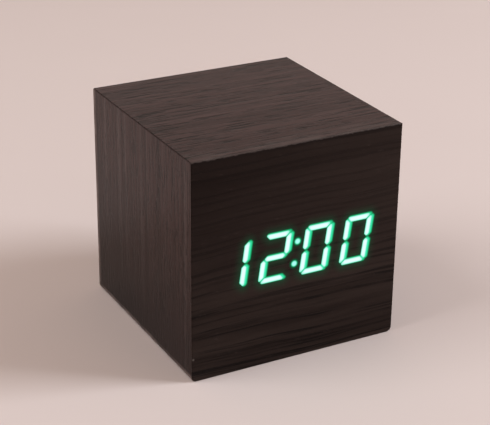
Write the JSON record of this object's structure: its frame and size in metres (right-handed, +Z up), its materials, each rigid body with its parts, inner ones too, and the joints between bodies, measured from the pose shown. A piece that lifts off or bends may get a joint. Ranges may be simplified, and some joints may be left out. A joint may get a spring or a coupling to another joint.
{
  "type": "digital clock",
  "caption": "Cube clock in black wood-grain film, with slanted green figures that shine through its front and a back panel with buttons, power inlet and battery door.",
  "frame": {"origin": "middle of the base, in the plane that the clock stands on", "axes": "X to the right as seen from the front, Y from the front to the back, Z up"},
  "size_m": [0.064, 0.064, 0.064],
  "materials": {
    "wood_film": "satin",
    "front_film": "satin",
    "lit_green": "matte",
    "white_plastic": "matte",
    "light_chip": "satin",
    "circuit_board": "satin",
    "screw_steel": "satin",
    "bright_steel": "polished",
    "chip_black": "matte",
    "resistor": "satin",
    "header_white": "satin",
    "ribbon_grey": "satin",
    "bare_wood": "matte",
    "black_plastic": "satin",
    "cell_sleeve": "gloss",
    "lead_red": "satin",
    "lead_black": "satin",
    "inlet_black": "satin",
    "pin_brass": "polished",
    "button_grey": "satin",
    "plunger_ivory": "satin"
  },
  "bodies": {
    "case": {"top_board": "wood_film", "right_board": "wood_film", "bottom_board": "wood_film", "left_board": "wood_film", "front_board": "wood_film", "front_film": "front_film", "hours_tens_digit": "lit_green", "hours_units_digit": "lit_green", "colon_dots": "lit_green", "minutes_tens_digit": "lit_green", "minutes_units_digit": "lit_green", "diffuser_sheet": "white_plastic", "display_reflector": "white_plastic", "segment_lights": "light_chip", "display_board": "circuit_board", "display_screws": "screw_steel", "controller_chip": "chip_black", "watch_crystal": "bright_steel", "buzzer": "chip_black", "segment_resistors": "resistor", "display_header": "header_white", "control_header": "header_white", "ribbon_cable": "ribbon_grey", "corner_blocks": "bare_wood", "back_panel": "black_plastic", "panel_screws": "screw_steel", "lower_cell": "cell_sleeve", "middle_cell": "cell_sleeve", "upper_cell": "cell_sleeve", "cell_springs": "bright_steel", "bridge_contacts": "bright_steel", "terminal_contacts": "bright_steel", "positive_lead": "lead_red", "negative_lead": "lead_black", "control_board": "circuit_board", "control_screws": "screw_steel", "switch_bodies": "chip_black", "microphone": "bright_steel", "inlet_housing": "inlet_black", "inlet_pin": "pin_brass", "inlet_leaf": "bright_steel"},
    "battery_door": {"battery_door": "black_plastic"},
    "set_button": {"set_button": "button_grey", "set_plunger": "plunger_ivory"},
    "up_button": {"up_button": "button_grey", "up_plunger": "plunger_ivory"},
    "down_button": {"down_button": "button_grey", "down_plunger": "plunger_ivory"}
  },
  "joints": [
    {"name": "battery_door_tilt", "type": "hinge", "parent": "case", "child": "battery_door", "pos_m": [0, 0.0297, 0.0119], "axis": [-1, 0, 0], "range_deg": [0, 70]},
    {"name": "set_press", "type": "slide", "parent": "case", "child": "set_button", "axis": [0, -1, 0], "range_m": [0, 0.0003], "stiffness_N_per_m": 1000},
    {"name": "up_press", "type": "slide", "parent": "case", "child": "up_button", "axis": [0, -1, 0], "range_m": [0, 0.0003], "stiffness_N_per_m": 1000},
    {"name": "down_press", "type": "slide", "parent": "case", "child": "down_button", "axis": [0, -1, 0], "range_m": [0, 0.0003], "stiffness_N_per_m": 1000}
  ]
}
